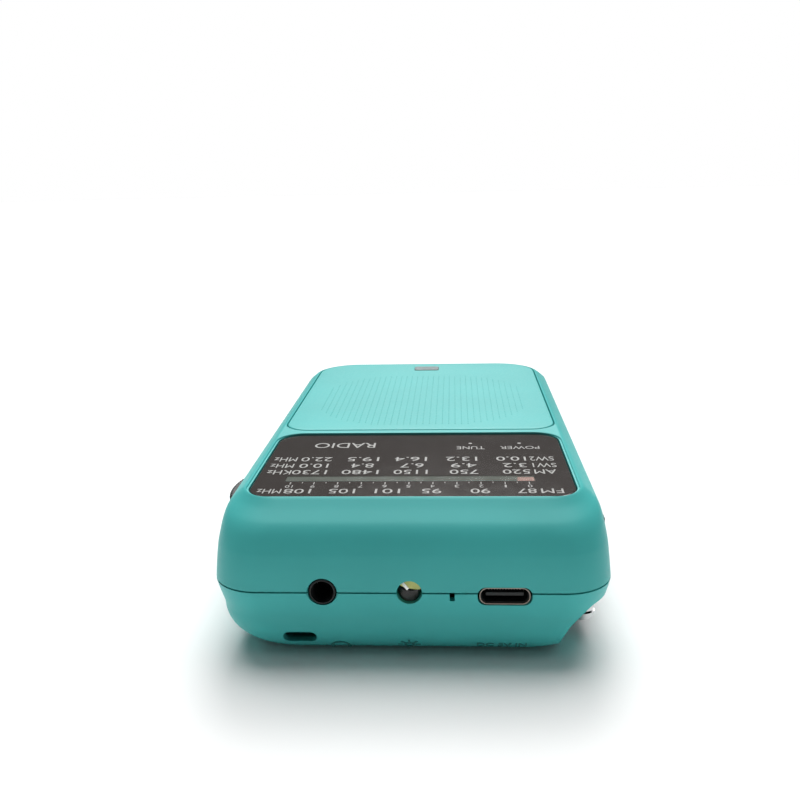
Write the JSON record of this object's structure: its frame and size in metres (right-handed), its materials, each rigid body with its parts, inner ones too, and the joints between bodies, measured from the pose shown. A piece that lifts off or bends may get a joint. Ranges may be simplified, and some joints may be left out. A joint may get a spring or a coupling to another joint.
{
  "type": "pocket emergency radio",
  "caption": "Pocket band radio with printed dial, speaker grille, tuning and volume thumbwheels, flashlight, telescopic antenna, headphone and charging sockets.",
  "frame": {"origin": "middle of the flat back's plane, under the middle of the radio's bounding box, knobs and thumbwheels included", "axes": "+Z out of the dial side, -Y out of the end with the sockets, -X out of the side with the thumbwheels"},
  "size_m": [0.0762, 0.127, 0.0287],
  "materials": {
    "case_plastic": "fine satin texture",
    "badge": "satin",
    "dial_window": "glossy, printed from behind",
    "dial_plate": "matte",
    "pointer_red": "satin",
    "cord": "braided",
    "steel": "plain",
    "black_plastic": "fine texture",
    "white_plastic": "matte",
    "clear_led": "clear",
    "circuit_board": "solder mask",
    "ferrite": "rough",
    "copper": "enamelled wire",
    "paper_cone": "pressed paper",
    "battery_wrap": "shrink wrap",
    "chrome": "polished"
  },
  "bodies": {
    "case": {"front_shell": "case_plastic", "back_shell": "case_plastic", "speaker_grille": "case_plastic", "grille_badge": "badge", "dial_lens": "dial_window", "dial_plate": "dial_plate", "dial_cord": "cord", "cord_post_left": "steel", "cord_post_right": "steel", "tuning_capacitor": "white_plastic", "volume_control": "steel", "band_switch": "steel", "light_switch": "steel", "headphone_jack": "black_plastic", "usb_socket": "steel", "usb_tongue": "black_plastic", "flashlight_led": "clear_led", "charge_led": "clear_led", "power_led": "clear_led", "tune_led": "clear_led", "circuit_board": "circuit_board", "radio_chip": "black_plastic", "filter_can_1": "steel", "filter_can_2": "steel", "smoothing_capacitor": "black_plastic", "ferrite_rod": "ferrite", "antenna_coil": "copper", "ferrite_clip_1": "white_plastic", "ferrite_clip_2": "white_plastic", "speaker_basket": "steel", "speaker_cone": "paper_cone", "speaker_magnet": "ferrite", "battery": "battery_wrap", "battery_contacts": "black_plastic", "case_screw_1": "steel", "case_screw_2": "steel", "case_screw_3": "steel", "case_screw_4": "steel"},
    "tuning_wheel": {"tuning_wheel": "black_plastic", "tuning_screw": "steel"},
    "dial_pointer": {"dial_pointer": "pointer_red"},
    "volume_wheel": {"volume_wheel": "black_plastic", "volume_screw": "steel"},
    "band_knob": {"band_knob": "black_plastic"},
    "light_knob": {"light_knob": "black_plastic"},
    "battery_door": {"battery_door": "case_plastic"},
    "antenna_stub": {"antenna_stub": "chrome", "antenna_rivet": "steel"},
    "antenna_base": {"antenna_fork": "chrome", "antenna_tube_1": "chrome"},
    "antenna_2": {"antenna_tube_2": "chrome"},
    "antenna_3": {"antenna_tube_3": "chrome"},
    "antenna_4": {"antenna_tube_4": "chrome"},
    "antenna_5": {"antenna_tip": "chrome"}
  },
  "joints": [
    {"name": "tuning", "type": "hinge", "parent": "case", "child": "tuning_wheel", "pos_m": [-0.0187, -0.031, 0.0222], "axis": [0, 0, 1], "range_deg": [0, 180]},
    {"name": "pointer_slide", "type": "slide", "parent": "case", "child": "dial_pointer", "axis": [-1, 0, 0], "range_m": [0, 0.0447]},
    {"name": "volume", "type": "hinge", "parent": "case", "child": "volume_wheel", "pos_m": [-0.0266, 0.0145, 0.0169], "axis": [0, 0, 1], "range_deg": [0, 280]},
    {"name": "band_slide", "type": "slide", "parent": "case", "child": "band_knob", "axis": [0, 1, 0], "range_m": [0, 0.0075]},
    {"name": "light_slide", "type": "slide", "parent": "case", "child": "light_knob", "axis": [0, 1, 0], "range_m": [0, 0.003]},
    {"name": "battery_door_slide", "type": "slide", "parent": "case", "child": "battery_door", "axis": [0, 1, 0], "range_m": [0, 0.058]},
    {"name": "antenna_swivel", "type": "hinge", "parent": "case", "child": "antenna_stub", "pos_m": [0.028, -0.0503, 0.006], "axis": [-1, 0, 0], "range_deg": [0, 180]},
    {"name": "antenna_tilt", "type": "hinge", "parent": "antenna_stub", "child": "antenna_base", "pos_m": [0.0324, -0.0503, 0.006], "axis": [0, 0, -1], "range_deg": [0, 90]},
    {"name": "antenna_extend_2", "type": "slide", "parent": "antenna_base", "child": "antenna_2", "axis": [0, 1, 0], "range_m": [0, 0.076]},
    {"name": "antenna_extend_3", "type": "slide", "parent": "antenna_2", "child": "antenna_3", "axis": [0, 1, 0], "range_m": [0, 0.076]},
    {"name": "antenna_extend_4", "type": "slide", "parent": "antenna_3", "child": "antenna_4", "axis": [0, 1, 0], "range_m": [0, 0.076]},
    {"name": "antenna_extend_5", "type": "slide", "parent": "antenna_4", "child": "antenna_5", "axis": [0, 1, 0], "range_m": [0, 0.076]}
  ],
  "couplings": [
    {"joint": "pointer_slide", "follows": "tuning", "m_per_rad": 0.0142}
  ]
}
